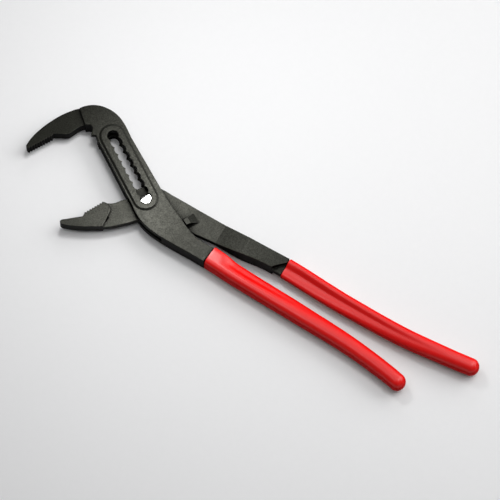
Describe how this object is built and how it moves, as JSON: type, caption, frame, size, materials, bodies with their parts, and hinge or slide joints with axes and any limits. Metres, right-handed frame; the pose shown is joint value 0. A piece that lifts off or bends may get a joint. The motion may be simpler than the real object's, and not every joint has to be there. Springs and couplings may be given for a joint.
{
  "type": "tongue and groove pliers",
  "caption": "Box-joint adjustable pliers: a scalloped slot sets the jaw size, toothed angled jaws grip pipes and nuts, and long red dipped grips cover both handles.",
  "frame": {"origin": "on the pivot axis, at the flat rear end of the pivot pin", "axes": "+X from the jaws towards the handle ends, +Y towards the upper jaw's outer edge, +Z out of the front face, along the pivot axis"},
  "size_m": [0.2992, 0.0778, 0.012],
  "materials": {
    "black_oxide_steel": "forged steel, black oxide, satin",
    "polished_steel": "bright ground steel",
    "dipped_red_vinyl": "dip-coated soft vinyl, glossy"
  },
  "bodies": {
    "slotted_side": {"slotted_lever": "black_oxide_steel", "lower_grip": "dipped_red_vinyl"},
    "pivot": {"pivot_pin": "polished_steel"},
    "through_side": {"through_lever": "black_oxide_steel", "upper_grip": "dipped_red_vinyl"}
  },
  "joints": [
    {"name": "seat_slide", "type": "slide", "parent": "slotted_side", "child": "pivot", "axis": [-0.8131, 0.5821, 0], "range_m": [0, 0.04536]},
    {"name": "handle_hinge", "type": "hinge", "parent": "pivot", "child": "through_side", "pos_m": [0, 0, 0], "axis": [0, 0, 1], "range_deg": [0, 60]}
  ]
}
